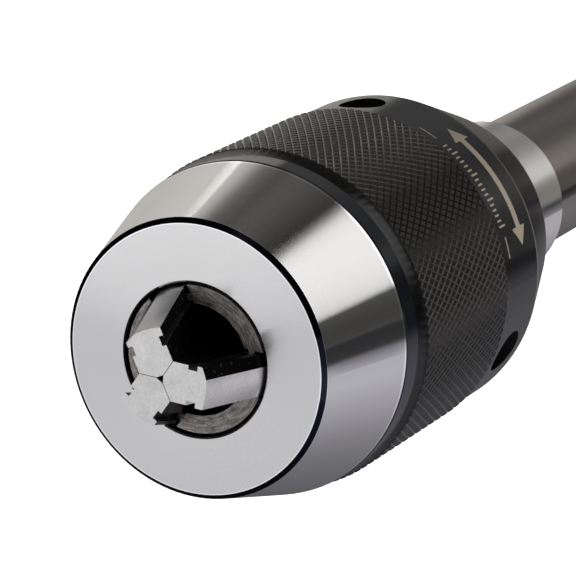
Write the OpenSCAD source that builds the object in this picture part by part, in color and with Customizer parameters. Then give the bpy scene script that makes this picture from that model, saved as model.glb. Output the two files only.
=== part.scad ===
// Keyless self-tightening drill chuck with an integral parallel shank.
// The chuck lies along Y: the jaws point to -Y, the shank to +Y.
// The origin is on the axis, at the rear face of the collar, where the shank starts.
// Turning parts are drawn with Z running back from the nose face, then laid along Y.
// The jaws are drawn closed, as they rest.

/* [Outline] */
// Diameter over the knurl
body_d = 57; // [56.6:0.1:58]
// Diameter of the flat nose face
face_d = 44; // [43:0.5:45]
// Diameter of the hole in the nose face
mouth_d = 25.2; // [25.2:0.1:26]
// Diameter of the nose cone at its rear edge
cone_d = 55.4; // [55:0.1:55.8]
// Diameter of the smooth spanner band
band_d = 56; // [55.6:0.1:56.4]
// Diameter of the rear cover at its rear edge
cover_rear_d = 43; // [42:0.5:44]
// Diameter of the collar behind the cover
collar_d = 29.2; // [29.2:0.1:30]
// Diameter of the parallel shank
shank_d = 25; // [20:0.5:25.4]
// Length of the parallel shank
shank_len = 56; // [50:1:70]

/* [Stations back from the nose face] */
// Rear edge of the nose cone
cone_end = 19; // [18.5:0.5:20]
// Rear edge of the black front ring, where the sleeve's tapered lead starts
ring_end = 23; // [22.5:0.25:23.5]
// Rear end of the tapered lead, where the knurl starts
knurl_start = 25; // [24.5:0.25:25.5]
// Rear edge of the knurled sleeve
knurl_end = 57; // [56.5:0.25:57.5]
// Rear edge of the spanner band
band_end = 70.5; // [70:0.25:71]
// Rear edge of the rear cover
cover_end = 89.5; // [89.5:0.5:92]
// Rear face of the collar
collar_end = 113.5; // [113.5:0.5:118]

/* [Jaws] */
// Angle between the jaws' slides and the chuck axis
slope = 20; // [20:0.1:20.2]
// How far the closed jaws stand out of the nose face
overhang = 11; // [10:0.5:12]
// Rearward travel of the jaws from closed to fully open
jaw_travel = 22; // [18:1:22]
// Radius of the jaws' backs in the plane of the nose face
back_r = 11.9; // [11.8:0.05:11.9]
// Width of the jaws over the outer flanks
jaw_w = 6.8; // [6.6:0.1:6.8]
// Turn of the first jaw about the axis
jaw_turn = 5; // [0:1:40]

/* [Spanner holes] */
// Diameter of the pin spanner holes
spanner_d = 8; // [6:0.5:8]
// Depth of the pin spanner holes
spanner_depth = 4.5; // [3.5:0.5:4.5]
// Turn of the first spanner hole about the axis
spanner_turn = 26; // [0:1:40]

/* [Thrust bearing] */
// Diameter of the balls
ball_d = 4.8; // [4.6:0.1:4.8]
// Number of balls
ball_count = 18; // [12:1:18]

/* [Hidden] */
$fn = 96;
eps = 0.01;

steel = [0.72, 0.72, 0.72];
bright = [0.84, 0.84, 0.83];
black = [0.13, 0.13, 0.14];
dark = [0.27, 0.27, 0.27];
bronze = [0.70, 0.52, 0.28];
rubber = [0.06, 0.06, 0.06];

body_r = body_d / 2;
face_r = face_d / 2;
mouth_r = mouth_d / 2;
cone_r = cone_d / 2;
band_r = band_d / 2;
collar_r = collar_d / 2;
shank_r = shank_d / 2;
jaw_turns = [for (i = [0:2]) jaw_turn + 120 * i];
rise = tan(slope);

// Hood: the jaws' backs run inside its cone
seat_gap = 0.35;                                // from a jaw's back to the seat
seat_r = back_r + seat_gap;                     // seat radius in the nose plane
hood_r = 23.9;                                  // cavity behind the seat
hood_tube_r = 26;                               // outside of the hood's tube
hood_end = 44;
ring_r = cone_r + 0.1;                          // outside of the front ring
seal_r = 0.5;                                   // section of the seal behind it
seat_end = (hood_r - seat_r) / rise;

// Jaws
grip_end = 9;                                   // rear end of the gripping part
inner_w = jaw_w - 0.3;                          // width over the inner flanks
groove_in = -3.1;                               // the flank grooves, below the back
groove_out = -1.6;
groove_floor = jaw_w / 2 - 0.85;
back_curve = 14;                                // radius across the ground back
facet_w = 1.5;                                  // where the back's flat facet starts
facet_drop = 0.85;
tail_in = 4.2;
tail_out = 11.5;
tail_w = 6.3;
tail_end = 27.2;
neck_w = 3.7;
neck_end = 31;
foot_end = 34.2;

// Jaw guide: a coned shell with three slots and a closed rear ring
guide_front = 0.35;
guide_wall = 2.9;
guide_ring_start = 33.5;
guide_ring_end = 37.5;
guide_ring_r = 20.6;
guide_slot_w = jaw_w + 0.6;
lip_gap = 0.25;
pin_d = 2.5;
pin_s = (guide_ring_start + guide_ring_end) / 2;
circlip_t = 1.2;
circlip_groove_r = hood_r + 0.7;

// Drive screw: T slots in its head hold the jaws' feet
head_start = tail_end + 0.3;
neck_plate_end = neck_end - 0.3;
pocket_end = foot_end + 0.3;
head_end = 36.9;
head_r = 20;
stem_r = 8;
stem_end = 88;
thread_lead = 3;
thread_depth = 0.9;
thread_start = 39;

// Body with the nut thread's bore, the flange and the bearing seat
flange_start = head_end + 22.4;
flange_end = 66;
flange_r = 21.2;
nut_r = stem_r + 0.35;
nut_end = stem_end + 23.5;

// Thrust bearing between the flange and the rear cover
pitch_r = 18;
race_t = 2.6;
ball_gap = 0.15;
groove_depth = 0.8;
race_groove_r = ball_d / 2 + ball_gap;
front_race_end = flange_end + race_t;
ball_s = front_race_end - groove_depth + race_groove_r;
rear_race_start = 2 * ball_s - front_race_end;
rear_race_end = 75.2;
cage_t = 1.8;

// Spanner ring, rear cover and what they hold
ring_bore_r = flange_r + 0.3;
front_spigot_start = 46;
front_spigot_bore_r = 22.6;
rear_spigot_r = 24.6;
bush_r = 17.2;
bush_gap = 0.06;
key_d = 2.6;
key_start = 39.5;

// Lays a part drawn along Z, from the nose face, onto the chuck's axis.
module on_axis() {
    translate([0, -collar_end, 0]) rotate([-90, 0, 0]) children();
}

module turned(points) {
    on_axis() rotate_extrude() polygon(points);
}

// Repeats a shape at three places round the axis.
module three(turn) {
    for (i = [0:2]) rotate([0, 0, turn + 120 * i]) children();
}

module tube(r_in, r_out, start, end) {
    turned([[r_in, start], [r_out, start], [r_out, end], [r_in, end]]);
}

// A box given by its ranges: u out from the axis, v across, s back from the nose face.
module block(u, v, s) {
    translate([u[0], v[0], s[0]]) cube([u[1] - u[0], v[1] - v[0], s[1] - s[0]]);
}

// Extrudes a jaw section along the slope. Its x is the height above a jaw's back.
module along_slope() {
    translate([back_r, 0, 0]) rotate([0, slope, 0]) translate([0, 0, -60])
        linear_extrude(120) children();
}

// Body: bored flange, neck and collar in one piece with the shank
module shank_body() {
    centre_r = 3;
    edge = 0.5;
    color(steel) turned([
        [nut_r + 0.8, flange_start], [flange_r - edge, flange_start],
        [flange_r, flange_start + edge], [flange_r, flange_end],
        [collar_r, flange_end], [collar_r, collar_end - edge],
        [collar_r - edge, collar_end], [shank_r, collar_end],
        [shank_r, collar_end + shank_len - 1], [shank_r - 0.8, collar_end + shank_len],
        [centre_r, collar_end + shank_len], [centre_r / 3, collar_end + shank_len - 3.5],
        [centre_r / 3, collar_end + shank_len - 6], [0, collar_end + shank_len - 6.6],
        [0, nut_end + 3], [nut_r, nut_end], [nut_r, flange_start + 0.8]
    ]);
}

module race(inner, outer, start, end) {
    on_axis() rotate_extrude() difference() {
        translate([inner, start]) square([outer - inner, end - start]);
        translate([pitch_r, ball_s]) circle(race_groove_r);
    }
}

module front_race() {
    color(steel) race(collar_r, flange_r - 0.3, flange_end, front_race_end);
}

module rear_race() {
    color(steel) race(collar_r + 0.6, ring_bore_r, rear_race_start, rear_race_end);
}

module ball_cage() {
    color(bronze) on_axis() difference() {
        rotate_extrude() translate([collar_r + 0.35, ball_s - cage_t / 2])
            square([ring_bore_r - collar_r - 0.7, cage_t]);
        for (i = [0:ball_count - 1]) rotate([0, 0, i * 360 / ball_count])
            translate([pitch_r, 0, ball_s - cage_t]) cylinder(h = 2 * cage_t, d = ball_d + 0.4);
    }
}

module bearing_balls() {
    color(bright) on_axis() for (i = [0:ball_count - 1])
        rotate([0, 0, i * 360 / ball_count]) translate([pitch_r, 0, ball_s]) sphere(d = ball_d);
}

// Screw: a head with three T slots, and a stem that runs in the body's nut thread
module drive_screw() {
    turns = floor((stem_end - 2 - thread_start) / thread_lead);
    color(steel) on_axis() difference() {
        rotate_extrude() polygon(concat(
            [[0, head_start], [head_r - 0.4, head_start], [head_r, head_start + 0.4],
             [head_r, head_end - 0.4], [head_r - 0.4, head_end], [stem_r, head_end]],
            [for (i = [0:turns - 1], p = [[0, 0], [thread_depth, 1.3], [thread_depth, 1.7]])
                [stem_r - p[0], thread_start + i * thread_lead + p[1]]],
            [[stem_r, thread_start + turns * thread_lead], [stem_r - 1, stem_end], [0, stem_end]]
        ));
        three(jaw_turn) {
            block([3.5, head_r + 1], [-neck_w / 2 - 0.3, neck_w / 2 + 0.3],
                  [head_start - 1, neck_plate_end + eps]);
            block([3.5, head_r + 1], [-tail_w / 2 - 0.3, tail_w / 2 + 0.3],
                  [neck_plate_end, pocket_end]);
        }
    }
}

// Hood: the bright nose cone, its jaw seat and the tube that carries the sleeve
module nose_cone() {
    edge_s = 0.65;
    edge_r = face_r + 0.85;
    bevel = 0.25;
    color(bright) on_axis() difference() {
        rotate_extrude() polygon([
            [mouth_r + bevel, 0], [face_r, 0], [edge_r, edge_s], [cone_r, cone_end - bevel],
            [cone_r - bevel, cone_end], [hood_tube_r, cone_end], [hood_tube_r, hood_end],
            [circlip_groove_r, hood_end], [circlip_groove_r, guide_ring_end],
            [hood_r, guide_ring_end], [hood_r, seat_end],
            [mouth_r, (mouth_r - seat_r) / rise], [mouth_r, bevel]
        ]);
        three(jaw_turn + 60) pin_hole();
        three(jaw_turn) translate([hood_tube_r, 0, key_start]) cylinder(h = 20, d = key_d);
    }
}

// Radial hole for a pin through the hood's tube and the guide's ring
module pin_hole() {
    translate([guide_ring_r - 1, 0, pin_s]) rotate([0, 90, 0]) cylinder(h = 10, d = pin_d);
}

// Slot for one jaw, with two lips left standing to run in the jaw's flank grooves
module guide_slot() {
    half = guide_slot_w / 2;
    lip = groove_floor + lip_gap;
    intersection() {
        along_slope() polygon([
            [4, -half], [4, half], [groove_out - lip_gap, half], [groove_out - lip_gap, lip],
            [groove_in + lip_gap, lip], [groove_in + lip_gap, half], [-40, half], [-40, -half],
            [groove_in + lip_gap, -half], [groove_in + lip_gap, -lip],
            [groove_out - lip_gap, -lip], [groove_out - lip_gap, -half]
        ]);
        block([0, 40], [-half - 1, half + 1], [-2, guide_ring_start - 0.3]);
    }
}

module jaw_guide() {
    shell_r = hood_r - seat_gap;
    inner_r = back_r - guide_wall;
    step = head_start - 0.6;
    color(dark) on_axis() difference() {
        rotate_extrude() polygon([
            [inner_r + rise * guide_front, guide_front], [back_r + rise * guide_front, guide_front],
            [shell_r, (shell_r - back_r) / rise], [shell_r, guide_ring_start],
            [hood_r, guide_ring_start], [hood_r, guide_ring_end],
            [guide_ring_r, guide_ring_end], [guide_ring_r, step], [inner_r + rise * step, step]
        ]);
        three(jaw_turn) guide_slot();
        three(jaw_turn + 60) pin_hole();
    }
}

module guide_pins() {
    color(steel) on_axis() three(jaw_turn + 60)
        translate([guide_ring_r + 0.6, 0, pin_s]) rotate([0, 90, 0])
            cylinder(h = hood_tube_r - guide_ring_r - 0.8, d = pin_d);
}

// Snap ring behind the guide, with its gap between two ears
module guide_circlip() {
    ear_r = 1.5;
    color(dark) on_axis() translate([0, 0, guide_ring_end]) linear_extrude(circlip_t)
        difference() {
            union() {
                difference() {
                    circle(circlip_groove_r);
                    circle(hood_r - 1.1);
                }
                for (side = [-1, 1]) rotate(90 + 9 * side) translate([hood_r - 1.6, 0]) circle(ear_r);
            }
            translate([-1.6, 10]) square([3.2, 20]);
            for (side = [-1, 1]) rotate(90 + 9 * side) translate([hood_r - 1.6, 0]) circle(0.7);
        }
}

// Black ring between the cone and the sleeve, with a seat for a seal at its rear
module front_ring() {
    seat_out = hood_tube_r + 2 * seal_r + 0.05;
    seat_start = ring_end - 2 * seal_r - 0.05;
    color(black) turned([
        [hood_tube_r, cone_end], [ring_r - 0.15, cone_end], [ring_r, cone_end + 0.15],
        [ring_r, ring_end - 0.1], [ring_r - 0.1, ring_end], [seat_out, ring_end],
        [seat_out, seat_start], [hood_tube_r, seat_start]
    ]);
}

module ring_seal() {
    color(rubber) on_axis() rotate_extrude()
        translate([hood_tube_r + seal_r, ring_end - seal_r]) circle(seal_r, $fn = 32);
}

// Sleeve: a smooth lead that tapers like the cone, then the cylinder that carries the knurl
module knurled_sleeve() {
    edge = 0.35;
    lead_r = ring_r - 0.05;
    lead_rise = 0.26;
    color(black) on_axis() difference() {
        rotate_extrude() polygon([
            [hood_tube_r, ring_end], [lead_r, ring_end],
            [lead_r + lead_rise * (knurl_start - ring_end), knurl_start],
            [body_r, knurl_start + edge], [body_r, knurl_end - edge],
            [body_r - edge, knurl_end], [hood_tube_r, knurl_end]
        ]);
        three(jaw_turn) translate([hood_tube_r, 0, key_start])
            cylinder(h = hood_end - key_start, d = key_d);
    }
}

// Keys, half in the hood's tube and half in the sleeve
module sleeve_keys() {
    color(steel) on_axis() three(jaw_turn) translate([hood_tube_r, 0, key_start])
        cylinder(h = hood_end - key_start, d = key_d);
}

// Ring nut with the pin spanner holes, screwed into the sleeve and the cover
module spanner_ring() {
    edge = 0.3;
    color(black) on_axis() difference() {
        rotate_extrude() polygon([
            [front_spigot_bore_r, front_spigot_start], [hood_tube_r, front_spigot_start],
            [hood_tube_r, knurl_end], [band_r - edge, knurl_end], [band_r, knurl_end + edge],
            [band_r, band_end - edge], [band_r - edge, band_end], [rear_spigot_r, band_end],
            [rear_spigot_r, rear_race_end], [ring_bore_r, rear_race_end],
            [ring_bore_r, flange_start - 1.3], [front_spigot_bore_r, flange_start - 1.3]
        ]);
        three(spanner_turn) translate([band_r - spanner_depth, 0, (knurl_end + band_end) / 2])
            rotate([0, 90, 0]) cylinder(h = 10, d = spanner_d);
    }
}

module rear_cover() {
    front_r = band_r - 0.1;
    rear_r = cover_rear_d / 2;
    edge = 0.4;
    color(black) turned([
        [rear_spigot_r, band_end], [front_r - edge, band_end], [front_r, band_end + edge],
        [rear_r + 0.1, cover_end - edge], [rear_r - edge, cover_end], [bush_r, cover_end],
        [bush_r, rear_race_end], [rear_spigot_r, rear_race_end]
    ]);
}

module rear_bush() {
    color(bronze) tube(collar_r + bush_gap, bush_r, rear_race_end + 0.8, cover_end - 3.5);
}

module rear_seal() {
    color(rubber) tube(collar_r + 0.3, bush_r, cover_end - 2.9, cover_end - 0.7);
}

// Height of a jaw's ground back at a distance v across it
function back_height(v) = sqrt(back_curve * back_curve - v * v) - back_curve;

// Section of a jaw across its slide: curved back, one flat facet, a groove in each flank
module jaw_section() {
    half = jaw_w / 2;
    inner = inner_w / 2;
    steps = 8;
    polygon(concat(
        [for (i = [0:steps]) let (v = half - i * (half + facet_w) / steps) [back_height(v), v]],
        [[-facet_drop, -half], [groove_out, -half], [groove_out, -groove_floor],
         [groove_in, -groove_floor], [groove_in, -inner], [-40, -inner], [-40, inner],
         [groove_in, inner], [groove_in, groove_floor], [groove_out, groove_floor],
         [groove_out, half]]
    ));
}

// One jaw. Its 120 degree gripping edge is parallel to the chuck's axis.
module jaw(turn) {
    tip_flat = 0.35;
    face_gap = 0.06;
    reach = 30;
    color(bright) on_axis() rotate([0, 0, turn]) {
        intersection() {
            along_slope() jaw_section();
            translate([face_gap, 0, -overhang]) linear_extrude(overhang + grip_end)
                polygon([[tip_flat, -tip_flat * tan(60)], [reach, -reach * tan(60)],
                         [reach, reach * tan(60)], [tip_flat, tip_flat * tan(60)]]);
        }
        block([tail_in, tail_out], [-tail_w / 2, tail_w / 2], [grip_end - 1, tail_end]);
        block([tail_in, tail_out], [-neck_w / 2, neck_w / 2], [tail_end - eps, neck_end + eps]);
        block([tail_in, tail_out], [-tail_w / 2, tail_w / 2], [neck_end, foot_end]);
    }
}

module jaw_1() jaw(jaw_turns[0]);
module jaw_2() jaw(jaw_turns[1]);
module jaw_3() jaw(jaw_turns[2]);

shank_body();
front_race();
drive_screw();
nose_cone();
jaw_guide();
guide_pins();
guide_circlip();
front_ring();
ring_seal();
knurled_sleeve();
sleeve_keys();
spanner_ring();
rear_cover();
rear_race();
rear_bush();
rear_seal();
jaw_1();
jaw_2();
jaw_3();
ball_cage();
bearing_balls();
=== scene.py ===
"""Drill chuck: knurl and mark geometry, procedural metals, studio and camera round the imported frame."""

import math

import bpy
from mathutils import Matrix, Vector


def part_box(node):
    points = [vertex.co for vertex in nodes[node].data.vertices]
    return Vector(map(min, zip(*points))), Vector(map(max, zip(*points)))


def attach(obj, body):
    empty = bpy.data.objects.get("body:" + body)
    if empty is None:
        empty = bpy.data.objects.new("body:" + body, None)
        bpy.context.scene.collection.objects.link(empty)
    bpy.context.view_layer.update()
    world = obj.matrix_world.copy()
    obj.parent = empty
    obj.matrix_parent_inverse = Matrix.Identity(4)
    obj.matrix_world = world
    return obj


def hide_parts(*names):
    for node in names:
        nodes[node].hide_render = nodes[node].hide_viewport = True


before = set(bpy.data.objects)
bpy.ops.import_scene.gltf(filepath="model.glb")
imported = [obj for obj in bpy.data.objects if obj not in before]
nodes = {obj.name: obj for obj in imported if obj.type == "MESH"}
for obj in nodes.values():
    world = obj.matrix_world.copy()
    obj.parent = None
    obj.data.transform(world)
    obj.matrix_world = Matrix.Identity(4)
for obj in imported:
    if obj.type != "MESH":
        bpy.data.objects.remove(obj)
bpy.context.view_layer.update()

MM = 0.001

# Places along the chuck, from the frame: y grows from the nose face to the shank's end
NOSE_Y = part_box("nose_cone")[0].y
SLEEVE_Y = [corner.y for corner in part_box("knurled_sleeve")]
SLEEVE_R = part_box("knurled_sleeve")[1].x
BAND_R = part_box("rear_cover")[1].x + 0.1 * MM  # the band stands 0.1 mm proud of the cover
JAW_TURNS = {"jaw_1": 5, "jaw_2": 125, "jaw_3": 245}  # degrees about the axis, down from +X


# ---------------------------------------------------------------- camera

def direction(azimuth, elevation):
    """Unit vector away from the chuck. Azimuth 0 is in front of the jaws, and 90 is to the right."""
    a = math.radians(azimuth)
    e = math.radians(elevation)
    return Vector((math.sin(a) * math.cos(e), -math.cos(a) * math.cos(e), math.sin(e)))


CAMERA_AZIMUTH = 26.89
CAMERA_ELEVATION = 15.76
CAMERA_TARGET = Vector((0, -81.3, 3.6)) * MM
CAMERA_DISTANCE = 604.4 * MM
CAMERA_LENS = 231.25         # mm, on a sensor 36 mm wide


def add_camera():
    back = direction(CAMERA_AZIMUTH, CAMERA_ELEVATION)
    data = bpy.data.cameras.new("camera")
    data.lens = CAMERA_LENS
    data.sensor_width = 36
    camera = bpy.data.objects.new("camera", data)
    camera.location = CAMERA_TARGET + back * CAMERA_DISTANCE
    camera.rotation_euler = (-back).to_track_quat("-Z", "Y").to_euler()
    data.clip_start = 0.01
    data.clip_end = 100
    bpy.context.scene.collection.objects.link(camera)
    bpy.context.scene.camera = camera


# ---------------------------------------------------------------- studio

# Lights don't hide each other or the studio behind them, so where two overlap in a reflection they add up
SOFTBOXES = {
    # name: (azimuth, elevation, distance m, width m, height m, radiance, colour)
    "right_box": (131, 34, 0.9, 0.56, 0.62, 1.22, (1.0, 0.995, 0.985)),
    "left_box": (-139, 17, 0.9, 0.56, 1.00, 0.62, (1.0, 0.97, 0.92)),
    "left_strip": (-141, 33, 0.89, 0.020, 0.14, 3.0, (1.0, 0.99, 0.97)),
    "right_fill": (116, 7, 0.9, 0.34, 0.25, 0.07, (1.0, 0.98, 0.95)),
    "front_card": (-36, 0, 0.9, 0.95, 0.88, 0.66, (0.98, 0.98, 1.0)),
    "upper_front_card": (-28, -4, 0.85, 0.34, 0.28, 0.52, (1.0, 0.995, 0.985)),
    "collar_card": (158, 8, 0.27, 0.100, 0.130, 0.30, (1.0, 0.96, 0.90)),
    "cover_card": (-162, -4, 0.9, 0.24, 0.16, 0.20, (1.0, 0.97, 0.92)),
    "mouth_fill": (50, -12, 0.9, 0.50, 0.50, 0.60, (1.0, 0.98, 0.96)),
    "top_box": (20, 62, 1.0, 0.60, 0.40, 0.50, (1.0, 1.0, 1.0)),
}


def add_softbox(name, azimuth, elevation, distance, width, height, radiance, colour):
    data = bpy.data.lights.new(name, "AREA")
    data.shape = "RECTANGLE"
    data.size = width
    data.size_y = height
    data.energy = radiance * math.pi * width * height
    data.color = colour
    light = bpy.data.objects.new(name, data)
    back = direction(azimuth, elevation)
    light.location = Vector((0, NOSE_Y / 2, 0)) + back * distance
    light.rotation_euler = back.to_track_quat("Z", "Y").to_euler()
    light.visible_camera = False
    bpy.context.scene.collection.objects.link(light)


# Brightness of the studio by elevation, in degrees, as the metal sees it
SKY_TINT_BELOW = (1.0, 0.98, 1.07)  # a little violet
SKY_TINT_HIGH = (1.06, 1.0, 0.93)   # warm, above SKY_HIGH
SKY_HIGH = 40
SKY = [(-90, 0.20), (-50, 0.30), (-38, 0.40), (-24, 0.48), (-15, 0.42), (-10, 0.03), (6, 0.02),
       (13, 0.20), (22, 0.36), (34, 0.36), (44, 0.08), (65, 0.08), (90, 0.20)]
HORIZON_BLEND = 0.02         # sine of the elevation, up and down, at which the two halves have run together

# How the brightness changes from the left, -1, to the right, 1, as seen from in front of the jaws
BELOW_MIDDLE = 0.62
BELOW_SLOPE = 0.9
ABOVE_PEAK = 0.95
ABOVE_PEAK_PLACE = -0.1
ABOVE_SLOPE = -1.2           # down to both sides of the peak
LEAST_SIDE = 0.15


def add_world():
    """The studio: bands by elevation, brightest on the right below the horizon, mid-way above it."""
    world = bpy.data.worlds.new("studio")
    bpy.context.scene.world = world
    world.use_nodes = True
    tree = Tree(world.node_tree)
    way = tree.split(tree.out("ShaderNodeTexCoord", "Generated"))
    ramp = tree.nodes.new("ShaderNodeValToRGB")
    for elevation, level in SKY:
        place = 0.5 + 0.5 * math.sin(math.radians(elevation))
        stop = ramp.color_ramp.elements.new(place)
        tint = (1, 1, 1)
        if elevation < 0:
            tint = SKY_TINT_BELOW
        elif elevation > SKY_HIGH:
            tint = SKY_TINT_HIGH
        stop.color = (level * tint[0], level * tint[1], level * tint[2], 1)
    ramp.color_ramp.elements.remove(ramp.color_ramp.elements[0])
    ramp.color_ramp.elements.remove(ramp.color_ramp.elements[-1])
    tree.wire(tree.math("MULTIPLY_ADD", way[2], 0.5, 0.5), ramp.inputs["Fac"])
    below = tree.math("MULTIPLY_ADD", way[0], BELOW_SLOPE, BELOW_MIDDLE)
    off_peak = tree.math("ABSOLUTE", tree.math("SUBTRACT", way[0], ABOVE_PEAK_PLACE))
    above = tree.math("MULTIPLY_ADD", off_peak, ABOVE_SLOPE, ABOVE_PEAK)
    share = tree.ramp(way[2], -HORIZON_BLEND, HORIZON_BLEND)
    side = tree.math("ADD", below, tree.math("MULTIPLY", share, tree.math("SUBTRACT", above, below)))
    side = tree.math("MAXIMUM", side, LEAST_SIDE)
    seen = tree.nodes.new("ShaderNodeBackground")
    tree.wire(ramp.outputs["Color"], seen.inputs["Color"])
    tree.wire(side, seen.inputs["Strength"])
    pale = tree.nodes.new("ShaderNodeBackground")
    pale.inputs["Color"].default_value = (1, 1, 1, 1)
    pale.inputs["Strength"].default_value = 1.0
    mix = tree.nodes.new("ShaderNodeMixShader")
    tree.wire(tree.out("ShaderNodeLightPath", "Is Camera Ray"), mix.inputs[0])
    tree.wire(seen.outputs[0], mix.inputs[1])
    tree.wire(pale.outputs[0], mix.inputs[2])
    tree.wire(mix.outputs[0], tree.nodes["World Output"].inputs["Surface"])


def add_floor():
    """A wide pale floor below the chuck, which is held by its shank."""
    half = 30.0
    height = -160 * MM
    corners = [(-half, -half, height), (half, -half, height), (half, half, height), (-half, half, height)]
    mesh = bpy.data.meshes.new("floor")
    mesh.from_pydata(corners, [], [(0, 1, 2, 3)])
    floor = bpy.data.objects.new("floor", mesh)
    bpy.context.scene.collection.objects.link(floor)
    paint = Finish("floor_paint", (0.93, 0.93, 0.93), 0.9, metallic=0)
    grain = paint.noise(paint.out("ShaderNodeTexCoord", "Object"), 3.0, detail=2)
    paint.colour_between(grain, (0.92, 0.92, 0.92), (0.95, 0.95, 0.95))
    paint.surface.inputs["Emission Color"].default_value = (1, 1, 1, 1)
    paint.surface.inputs["Emission Strength"].default_value = 1.0
    mesh.materials.append(paint.material)
    floor.visible_glossy = False
    floor.visible_shadow = False


# ---------------------------------------------------------------- shader building

class Tree:
    """A node tree with short calls for the nodes that the finishes share."""

    def __init__(self, tree):
        self.nodes = tree.nodes
        self.links = tree.links

    def wire(self, source, socket):
        """Sets a socket to a number or a colour, or links it to another socket."""
        if isinstance(source, bpy.types.NodeSocket):
            self.links.new(source, socket)
        else:
            socket.default_value = source

    def out(self, kind, output):
        return self.nodes.new(kind).outputs[output]

    def split(self, vector):
        node = self.nodes.new("ShaderNodeSeparateXYZ")
        self.wire(vector, node.inputs[0])
        return node.outputs

    def join(self, x, y, z):
        node = self.nodes.new("ShaderNodeCombineXYZ")
        for source, socket in zip((x, y, z), node.inputs):
            self.wire(source, socket)
        return node.outputs[0]

    def math(self, operation, *sources, clamp=False):
        node = self.nodes.new("ShaderNodeMath")
        node.operation = operation
        node.use_clamp = clamp
        for source, socket in zip(sources, node.inputs):
            self.wire(source, socket)
        return node.outputs[0]

    def noise(self, vector, scale, detail=3.0, roughness=0.5):
        node = self.nodes.new("ShaderNodeTexNoise")
        self.wire(vector, node.inputs["Vector"])
        node.inputs["Scale"].default_value = scale
        node.inputs["Detail"].default_value = detail
        node.inputs["Roughness"].default_value = roughness
        return node.outputs["Fac"]

    def ramp(self, value, low, high, start=0.0, end=1.0):
        """Maps value from low..high to start..end, clamped and eased at both ends."""
        node = self.nodes.new("ShaderNodeMapRange")
        node.interpolation_type = "SMOOTHSTEP"
        for source, socket in zip((value, low, high, start, end), node.inputs):
            self.wire(source, socket)
        return node.outputs[0]

    def mix(self, share, first, second):
        """Colour between first and second."""
        node = self.nodes.new("ShaderNodeMix")
        node.data_type = "RGBA"
        for source, socket in ((share, node.inputs[0]), (first, node.inputs[6]), (second, node.inputs[7])):
            if isinstance(source, tuple):
                source = (*source, 1)
            self.wire(source, socket)
        return node.outputs[2]


class Finish(Tree):
    """One material: a Principled shader with its base colour, roughness and bump to be filled in."""

    def __init__(self, name, colour, roughness, metallic=1.0, anisotropy=0.0, coat=0.0):
        self.material = bpy.data.materials.new(name)
        self.material.use_nodes = True
        super().__init__(self.material.node_tree)
        self.surface = self.nodes["Principled BSDF"]
        self.surface.inputs["Base Color"].default_value = (*colour, 1)
        self.surface.inputs["Roughness"].default_value = roughness
        self.surface.inputs["Metallic"].default_value = metallic
        self.surface.inputs["Anisotropic"].default_value = anisotropy
        self.surface.inputs["Coat Weight"].default_value = coat
        self.place = self.out("ShaderNodeTexCoord", "Object")

    def colour_between(self, share, first, second):
        self.wire(self.mix(share, first, second), self.surface.inputs["Base Color"])

    def roughness_between(self, share, low, high):
        self.wire(self.ramp(share, 0.0, 1.0, low, high), self.surface.inputs["Roughness"])

    def bump(self, height, distance_mm, strength=1.0):
        node = self.nodes.new("ShaderNodeBump")
        node.inputs["Strength"].default_value = strength
        node.inputs["Distance"].default_value = distance_mm * MM
        self.wire(height, node.inputs["Height"])
        self.wire(node.outputs[0], self.surface.inputs["Normal"])

    def round_the_axis(self):
        """(radius, place along the axis) in mm, and the two parts of the direction out from the axis."""
        x, y, z = self.split(self.place)
        squares = self.math("ADD", self.math("MULTIPLY", x, x), self.math("MULTIPLY", z, z))
        radius = self.math("SQRT", squares)
        return (self.math("MULTIPLY", radius, 1000), self.math("MULTIPLY", y, 1000),
                self.math("DIVIDE", x, radius), self.math("DIVIDE", z, radius))

    def turning_lines(self, per_mm, along=1.0):
        """Fine lines that run round the axis, from 0 to 1, with long uneven streaks."""
        radius, y, out_x, out_z = self.round_the_axis()
        across = self.math("ADD", self.math("MULTIPLY", y, per_mm), self.math("MULTIPLY", radius, per_mm))
        lines = self.join(across, self.math("MULTIPLY", out_x, along), self.math("MULTIPLY", out_z, along))
        return self.noise(lines, 1.0, detail=3.0, roughness=0.6)

    def brush_round_the_axis(self, turn=0.25):
        node = self.nodes.new("ShaderNodeTangent")
        node.direction_type = "RADIAL"
        node.axis = "Y"
        self.wire(node.outputs[0], self.surface.inputs["Tangent"])
        self.surface.inputs["Anisotropic Rotation"].default_value = turn


# ---------------------------------------------------------------- finishes

def behind_nose(finish):
    """Distance back from the nose face, in mm."""
    return finish.math("SUBTRACT", finish.round_the_axis()[1], NOSE_Y / MM)


# Places on the hood, in mm: radii, and distances behind the nose face
FACE_HIGHLIGHT_R = 21.80           # the painted highlight round the flat face starts here
FACE_HIGHLIGHT_END = 0.70
BLUED_R = 22.02              # the blued edge outside it
BLUED_END = 0.62
# The painted shade on the mouth's wall starts within this radius and this far behind the nose face
MOUTH_WALL_R = 12.70
MOUTH_WALL_START = 0.30
REAR_HIGHLIGHT_START = 18.30       # painted highlight at the cone's rear edge


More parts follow.
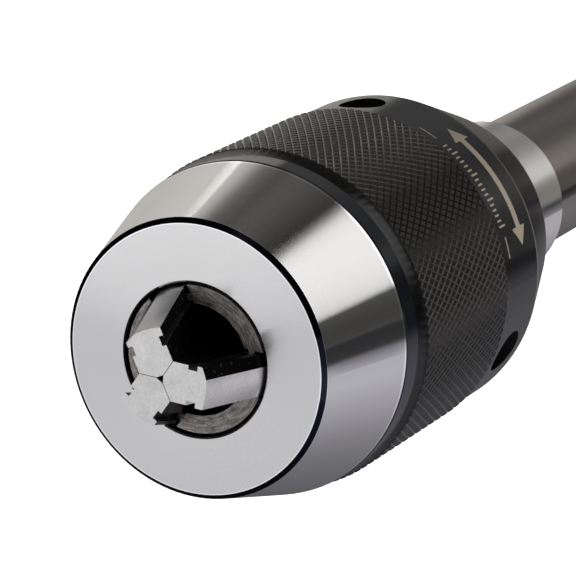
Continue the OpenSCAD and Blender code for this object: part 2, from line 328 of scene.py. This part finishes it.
def hood_steel():
    """Nose cone: steel ground round the axis, with a blued edge round its flat face, painted highlights
    round that face and at the cone's rear edge, and a dark mouth whose darkness is painted shade.
    """
    steel = Finish("hood_steel", (0.70, 0.69, 0.68), 0.2, anisotropy=0.95)
    steel.brush_round_the_axis()
    lines = steel.turning_lines(9.0, along=1.0)
    radius, _, _, _ = steel.round_the_axis()
    back = behind_nose(steel)
    bright = steel.mix(lines, (0.67, 0.665, 0.665), (0.73, 0.725, 0.725))
    # Painted highlight: the base colour is lightened to near white in a thin band round the flat face's
    # outer edge
    face_highlight = steel.math("MULTIPLY", steel.ramp(radius, FACE_HIGHLIGHT_R, FACE_HIGHLIGHT_R + 0.04),
                     steel.ramp(back, FACE_HIGHLIGHT_END, FACE_HIGHLIGHT_END + 0.08, 1.0, 0.0))
    highlighted = steel.mix(face_highlight, bright, (0.96, 0.97, 1.0))
    # Painted highlight: pure white base colour over the last part of the cone before its rear edge
    rear_highlight = steel.ramp(back, REAR_HIGHLIGHT_START, REAR_HIGHLIGHT_START + 0.06)
    highlighted = steel.mix(rear_highlight, highlighted, (1.0, 1.0, 1.0))
    edge = steel.math("MULTIPLY", steel.ramp(radius, BLUED_R, BLUED_R + 0.04),
                      steel.ramp(back, BLUED_END, BLUED_END + 0.06, 1.0, 0.0))
    # Painted shade: the mouth's wall within the bore is coloured near-black, the same blue-black as the
    # blued edge
    mouth = steel.math("MULTIPLY", steel.ramp(radius, MOUTH_WALL_R - 0.06, MOUTH_WALL_R, 1.0, 0.0),
                       steel.ramp(back, MOUTH_WALL_START, MOUTH_WALL_START + 0.06))
    steel.colour_between(steel.math("MAXIMUM", edge, mouth), highlighted, (0.012, 0.014, 0.022))
    steel.roughness_between(lines, 0.12, 0.17)
    steel.bump(lines, 0.002, 0.15)
    return steel.material


def black_oxide(name, colour, roughness, painted_edge_highlights=()):
    """Blackened steel with faint turning lines.

    painted_edge_highlights are (start, end, least radius, colour) of painted highlights on edges, in mm,
    the first two behind the nose face.
    """
    black = Finish(name, colour, roughness, metallic=0.0, anisotropy=0.6)
    black.brush_round_the_axis()
    lines = black.turning_lines(7.0, along=2.0)
    patches = black.noise(black.place, 180.0, detail=4)
    shade = black.mix(black.math("MULTIPLY", lines, patches), colour, tuple(c * 2.2 for c in colour))
    back = behind_nose(black)
    # Each listed edge gets a painted highlight: its base colour is lightened over that stretch
    for start, end, inner, groove_sheen_and_painted_highlight in painted_edge_highlights:
        share = black.math("MULTIPLY", black.ramp(back, start - 0.05, start + 0.05),
                           black.ramp(back, end - 0.05, end + 0.05, 1.0, 0.0))
        radius = black.round_the_axis()[0]
        share = black.math("MULTIPLY", share, black.ramp(radius, inner - 0.05, inner + 0.05))
        shade = black.mix(share, shade, groove_sheen_and_painted_highlight)
    black.wire(shade, black.surface.inputs["Base Color"])
    black.roughness_between(lines, roughness * 0.85, roughness * 1.2)
    black.surface.inputs["Specular IOR Level"].default_value = 0.32
    black.bump(lines, 0.004, 0.25)
    return black.material


KNURL_START = 25.0           # mm behind the nose face
KNURL_RIDGES = 120           # grooves of each hand round the sleeve
KNURL_ROWS = 24              # half diamonds from the front edge to the rear edge, an even number
KNURL_CREST = SLEEVE_R / MM  # mm
KNURL_DEPTH = 0.14           # mm
KNURL_LAND = 0.64            # share of a diamond that is its flat top, the rest is groove
KNURL_EDGE = 0.45            # mm, chamfer at both ends
LEAD_FRONT_R = 27.75         # mm, the smooth lead tapers up from here
LEAD_REAR_R = 28.25
SLEEVE_BORE_R = 26.0         # mm


def knurl_black():
    """Sleeve: blackened steel, a pale champagne sheen in the knurl's grooves and a smooth dark lead."""
    black = Finish("knurl_black", (0.02, 0.02, 0.02), 0.38, metallic=0.0)
    radius, _, _, _ = black.round_the_axis()
    patches = black.noise(black.place, 900.0, detail=3)
    lead = black.ramp(behind_nose(black), KNURL_START - 0.05, KNURL_START + 0.05, 1.0, 0.0)
    groove = black.ramp(radius, KNURL_CREST - 0.06, KNURL_CREST - 0.02, 1.0, 0.0)
    first_groove = KNURL_START + KNURL_EDGE
    on_knurl = black.ramp(behind_nose(black), first_groove - 0.05, first_groove + 0.05)
    groove = black.math("MULTIPLY", groove, on_knurl)
    groove_sheen_and_painted_highlight = black.math("MULTIPLY", groove, black.ramp(patches, 0.35, 0.65, 0.6, 1.0))
    shade = black.mix(groove_sheen_and_painted_highlight, (0.004, 0.004, 0.004), (0.066, 0.060, 0.053))
    black.colour_between(lead, shade, (0.042, 0.042, 0.042))
    black.wire(black.math("MAXIMUM", lead, groove_sheen_and_painted_highlight), black.surface.inputs["Metallic"])
    rough = black.ramp(patches, 0.0, 1.0, 0.30, 0.45)
    rough = black.math("SUBTRACT", rough, black.math("MULTIPLY", groove_sheen_and_painted_highlight, 0.18))
    rough = black.math("SUBTRACT", rough, black.math("MULTIPLY", lead, 0.10))
    black.wire(rough, black.surface.inputs["Roughness"])
    black.surface.inputs["Specular IOR Level"].default_value = 0.25
    black.bump(patches, 0.015, 0.3)
    return black.material


def guide_grain():
    """Jaw guide: dark sintered steel with a sandy grain, streaked round the axis."""
    grain = Finish("guide_grain", (0.2, 0.19, 0.18), 0.5)
    fine = grain.noise(grain.place, 2600.0, detail=3, roughness=0.6)
    streaks = grain.turning_lines(4.0, along=6.0)
    mottle = grain.math("MULTIPLY", grain.ramp(fine, 0.2, 0.8, 0.3, 1.0),
                        grain.ramp(streaks, 0.3, 0.65, 0.15, 1.0))
    grain.colour_between(mottle, (0.10, 0.095, 0.09), (0.68, 0.63, 0.58))
    grain.roughness_between(fine, 0.36, 0.6)
    grain.bump(mottle, 0.04, 0.7)
    return grain.material


def jaw_steel(name, turn):
    """One jaw: hardened steel with a fine ground grain, dark flanks with a few bright specks, and painted
    shade on the faces that look in toward the axis.

    The part of a surface's normal across the jaw, and the part outward, tell the jaw's faces apart.
    """
    steel = Finish(f"{name}_steel", (0.7, 0.69, 0.67), 0.3, anisotropy=0.2)
    fine = steel.noise(steel.place, 3000.0, detail=3, roughness=0.65)
    coarse = steel.noise(steel.place, 420.0, detail=3)
    angle = math.radians(turn)
    facing = steel.out("ShaderNodeTexCoord", "Normal")
    nx, _, nz = steel.split(facing)
    across = steel.math("ADD", steel.math("MULTIPLY", nx, -math.sin(angle)),
                        steel.math("MULTIPLY", nz, -math.cos(angle)))
    outward = steel.math("ADD", steel.math("MULTIPLY", nx, math.cos(angle)),
                         steel.math("MULTIPLY", nz, -math.sin(angle)))
    facet = steel.ramp(steel.math("MULTIPLY", across, -1.0), 0.29, 0.33)
    flank = steel.ramp(across, 0.7, 0.85)
    # Painted shade: faces that look in toward the axis, the gripping faces among them, get a flat dark grey
    inward_painted_shade = steel.ramp(outward, -0.5, -0.3, 1.0, 0.0)
    dark = steel.math("MAXIMUM", facet, flank)
    specks = steel.ramp(steel.noise(steel.place, 1500.0, detail=2), 0.66, 0.70)
    bright = steel.mix(steel.ramp(fine, 0.3, 0.75), (0.70, 0.69, 0.68), (0.82, 0.81, 0.80))
    black = steel.mix(specks, (0.022, 0.022, 0.024), (0.25, 0.24, 0.23))
    outside = steel.mix(dark, bright, black)
    steel.colour_between(inward_painted_shade, outside, (0.20, 0.19, 0.18))
    steel.roughness_between(coarse, 0.24, 0.40)
    steel.bump(fine, 0.008, 0.4)
    return steel.material


def ground_steel():
    """Body and shank: cylindrically ground steel, browner on the shank than on the collar."""
    steel = Finish("ground_steel", (0.5, 0.48, 0.45), 0.24, anisotropy=0.9)
    steel.brush_round_the_axis()
    lines = steel.turning_lines(7.0, along=1.0)
    _, y, _, _ = steel.round_the_axis()
    collar = steel.mix(lines, (0.84, 0.83, 0.82), (0.92, 0.91, 0.90))
    shank = steel.mix(lines, (0.25, 0.225, 0.21), (0.31, 0.285, 0.265))
    on_shank = steel.ramp(y, -0.1, 0.05)
    steel.wire(steel.mix(on_shank, collar, shank), steel.surface.inputs["Base Color"])
    steel.roughness_between(lines, 0.20, 0.28)
    steel.bump(lines, 0.003, 0.3)
    return steel.material


def plain_steel(name, colour, roughness):
    """Inner steel pieces: turned, with fine lines round the axis."""
    steel = Finish(name, colour, roughness)
    lines = steel.turning_lines(5.0, along=2.0)
    steel.colour_between(lines, tuple(c * 0.85 for c in colour), tuple(min(1, c * 1.1) for c in colour))
    steel.roughness_between(lines, roughness * 0.8, roughness * 1.2)
    steel.bump(lines, 0.006, 0.4)
    return steel.material


def bronze():
    """Bush and ball cage: porous sintered bronze."""
    metal = Finish("bronze", (0.62, 0.45, 0.22), 0.4)
    pores = metal.noise(metal.place, 1500.0, detail=3)
    metal.colour_between(pores, (0.42, 0.28, 0.12), (0.72, 0.54, 0.28))
    metal.roughness_between(pores, 0.3, 0.5)
    metal.bump(pores, 0.02, 0.5)
    return metal.material


def rubber():
    """Seals: matt black nitrile rubber."""
    seal = Finish("seal_rubber", (0.02, 0.02, 0.02), 0.6, metallic=0.0)
    bloom = seal.noise(seal.place, 600.0, detail=4)
    seal.colour_between(bloom, (0.010, 0.010, 0.012), (0.030, 0.030, 0.034))
    seal.roughness_between(bloom, 0.5, 0.75)
    seal.bump(bloom, 0.01, 0.5)
    return seal.material


def laser_mark():
    """Laser-marked steel: pale champagne with a fine hatched grain."""
    mark = Finish("laser_mark", (0.5, 0.42, 0.32), 0.5, metallic=0.3)
    grain = mark.noise(mark.place, 2400.0, detail=2)
    mark.colour_between(grain, (0.40, 0.34, 0.25), (0.62, 0.54, 0.42))
    mark.roughness_between(grain, 0.4, 0.6)
    mark.bump(grain, 0.01, 0.4)
    return mark.material


# (start, end, least radius, colour) of the painted highlights on the rear cover's front and rear edges
COVER_FRONT_HIGHLIGHT = (70.4, 70.95, 27.0, (0.22, 0.20, 0.18))
COVER_REAR_HIGHLIGHT = (88.9, 89.6, 21.2, (0.50, 0.36, 0.20))


def paint_nodes():
    ring = black_oxide("ring_black", (0.004, 0.005, 0.008), 0.15)
    band = black_oxide("band_black", (0.007, 0.007, 0.0075), 0.20)
    # The cover's two edge lines are painted highlights
    cover = black_oxide("cover_black", (0.004, 0.0045, 0.005), 0.15,
                        [COVER_FRONT_HIGHLIGHT, COVER_REAR_HIGHLIGHT])
    steel = plain_steel("race_steel", (0.60, 0.60, 0.60), 0.25)
    screw = plain_steel("screw_steel", (0.30, 0.30, 0.31), 0.4)
    spring = plain_steel("spring_steel", (0.14, 0.14, 0.15), 0.35)
    ball = plain_steel("ball_steel", (0.78, 0.78, 0.78), 0.08)
    brass = bronze()
    seal = rubber()
    finishes = {
        "nose_cone": hood_steel(), "jaw_guide": guide_grain(), "shank_body": ground_steel(),
        "front_ring": ring, "rear_cover": cover, "spanner_ring": band, "knurled_sleeve": band,
        "ring_seal": seal, "rear_seal": seal, "rear_bush": brass, "ball_cage": brass,
        "bearing_balls": ball, "drive_screw": screw, "guide_circlip": spring, "guide_pins": steel,
        "sleeve_keys": steel, "front_race": steel, "rear_race": steel,
    }
    for jaw, turn in JAW_TURNS.items():
        finishes[jaw] = jaw_steel(jaw, turn)
    for name, material in finishes.items():
        nodes[name].data.materials.clear()
        nodes[name].data.materials.append(material)


JAW_EDGE = 0.07              # mm, rounding of the jaws' sharp edges
HOLE_EDGE = 0.12             # mm, rounding of the spanner holes and the band's edges


def soften_edges(name, width_mm):
    """Rounds a CAD node's sharp edges a little, so that they catch the light."""
    bevel = nodes[name].modifiers.new("soft_edges", "BEVEL")
    bevel.width = width_mm * MM
    bevel.segments = 2
    bevel.limit_method = "ANGLE"
    bevel.angle_limit = math.radians(35)
    bevel.harden_normals = True


# ---------------------------------------------------------------- sleeve with its knurl

def add_mesh(name, points, faces, material, body):
    mesh = bpy.data.meshes.new(name)
    mesh.from_pydata(points, [], faces)
    mesh.validate()
    mesh.materials.append(material)
    piece = bpy.data.objects.new(name, mesh)
    bpy.context.scene.collection.objects.link(piece)
    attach(piece, body)
    return piece


def add_sleeve():
    """The sleeve: a smooth lead, then flat-topped diamonds left between two sets of crossing grooves."""
    count = 2 * KNURL_RIDGES
    start = NOSE_Y / MM + KNURL_START + KNURL_EDGE
    end = SLEEVE_Y[1] / MM - KNURL_EDGE
    step = (end - start) / KNURL_ROWS
    low = KNURL_CREST - KNURL_DEPTH
    crease = math.radians(20)
    points = []
    index = {}

    def point(column, y, radius):
        """Number of the point at a place on the sleeve, in mm. The pattern repeats after count columns."""
        key = (round(column % count, 3), round(y, 4), round(radius, 4))
        if key not in index:
            angle = 2 * math.pi * column / count
            index[key] = len(points)
            points.append((radius * math.cos(angle) * MM, y * MM, radius * math.sin(angle) * MM))
        return index[key]

    faces = []
    ways = [(-1, 0), (0, 1), (1, 0), (0, -1)]
    for row in range(KNURL_ROWS + 1):
        for column in range((row + 1) % 2, count, 2):
            grooves = {}
            lands = {}
            for way in ways:
                if 0 <= row + way[1] <= KNURL_ROWS:
                    grooves[way] = point(column + way[0], start + (row + way[1]) * step, low)
                    lands[way] = point(column + KNURL_LAND * way[0],
                                       start + (row + KNURL_LAND * way[1]) * step, KNURL_CREST)
            faces.append(tuple(lands.values()))
            for here, there in zip(ways, ways[1:] + ways[:1]):
                if here in lands and there in lands:
                    faces.append((grooves[here], grooves[there], lands[there], lands[here]))

    # The rest is turned: from the knurl's front edge over the lead, down the bore and back to its rear edge
    front = SLEEVE_Y[0] / MM
    knurl = NOSE_Y / MM + KNURL_START
    rear = SLEEVE_Y[1] / MM
    outline = [(knurl, LEAD_REAR_R), (front, LEAD_FRONT_R), (front, SLEEVE_BORE_R),
               (rear, SLEEVE_BORE_R), (rear, KNURL_CREST - KNURL_EDGE)]
    for column in range(1, count, 2):
        across = [-1, -KNURL_LAND, KNURL_LAND, 1]
        heights = [low, KNURL_CREST, KNURL_CREST, low]
        rings = [[point(column + a, start, h) for a, h in zip(across, heights)]]
        rings += [[point(column + a, y, radius) for a in across] for y, radius in outline]
        rings += [[point(column + a, end, h) for a, h in zip(across, heights)]]
        for ring, following in zip(rings, rings[1:]):
            for k in range(3):
                faces.append((ring[k], ring[k + 1], following[k + 1], following[k]))
    sleeve = add_mesh("sleeve_with_knurl", points, faces, knurl_black(), "sleeve")
    for polygon in sleeve.data.polygons:
        polygon.use_smooth = polygon.center.y < NOSE_Y + KNURL_START * MM
    sleeve.data.set_sharp_from_angle(angle=crease)
    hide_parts("knurled_sleeve")


# ---------------------------------------------------------------- marks on the smooth band

MARK_TOP = 0.03              # mm that a mark stands out of the band
MARK_SUNK = 0.04             # mm that it reaches into it
MARK_STEP = 2.0              # degrees between the stations of a curved mark

# Each mark is a row of stations: angle in degrees up from +X, then its two edges in mm behind the nose face
ARROW = [(13, 65.3, 65.3), (19.5, 62.9, 67.7), (19.6, 64.5, 66.1), (55.4, 64.5, 66.1),
         (55.5, 62.9, 67.7), (62, 65.3, 65.3)]
UPPER_LINE = [(60.5, 59.4, 59.75), (67.5, 59.4, 59.75)]
LOWER_LINE = [(11, 59.4, 59.75), (18.5, 59.4, 59.75)]

TICK_ANGLES = range(22, 58, 2)
TICK_WIDTH = 0.7             # degrees
TICK_START = 58.7            # mm behind the nose face
TICK_END = 60.1
LONG_TICK_END = 60.9         # every fifth tick


def add_mark(name, stations, material):
    """A thin curved plate that lies on the band."""
    filled = []
    for (angle, low, high), (next_angle, next_low, next_high) in zip(stations, stations[1:]):
        steps = max(1, math.ceil((next_angle - angle) / MARK_STEP))
        for k in range(steps):
            share = k / steps
            filled.append((angle + share * (next_angle - angle), low + share * (next_low - low),
                           high + share * (next_high - high)))
    filled.append(stations[-1])
    points = []
    for angle, low, high in filled:
        turn = math.radians(angle)
        half = max(0.01, (high - low) / 2)
        middle = (high + low) / 2
        for edge, lift in ((-half, MARK_TOP), (half, MARK_TOP), (half, -MARK_SUNK), (-half, -MARK_SUNK)):
            radius = BAND_R + lift * MM
            points.append((radius * math.cos(turn), NOSE_Y + (middle + edge) * MM, radius * math.sin(turn)))
    faces = [(3, 2, 1, 0)]
    for k in range(len(filled) - 1):
        base = 4 * k
        for edge in range(4):
            following = (edge + 1) % 4
            faces.append((base + edge, base + following, base + 4 + following, base + 4 + edge))
    last = 4 * (len(filled) - 1)
    faces.append((last, last + 1, last + 2, last + 3))
    mark = add_mesh(name, points, faces, material, "sleeve")


def add_marks():
    material = laser_mark()
    add_mark("turn_arrow", ARROW, material)
    add_mark("upper_line", UPPER_LINE, material)
    add_mark("lower_line", LOWER_LINE, material)
    for number, angle in enumerate(TICK_ANGLES):
        end = LONG_TICK_END if number % 5 == 0 else TICK_END
        tick = [(angle, TICK_START, end), (angle + TICK_WIDTH, TICK_START, end)]
        add_mark(f"tick_{number}", tick, material)


add_camera()
add_world()
add_floor()
for name, settings in SOFTBOXES.items():
    add_softbox(name, *settings)
paint_nodes()
for jaw in JAW_TURNS:
    soften_edges(jaw, JAW_EDGE)
soften_edges("spanner_ring", HOLE_EDGE)
add_sleeve()
add_marks()

scene = bpy.context.scene
scene.view_settings.view_transform = "Standard"
scene.view_settings.look = "None"
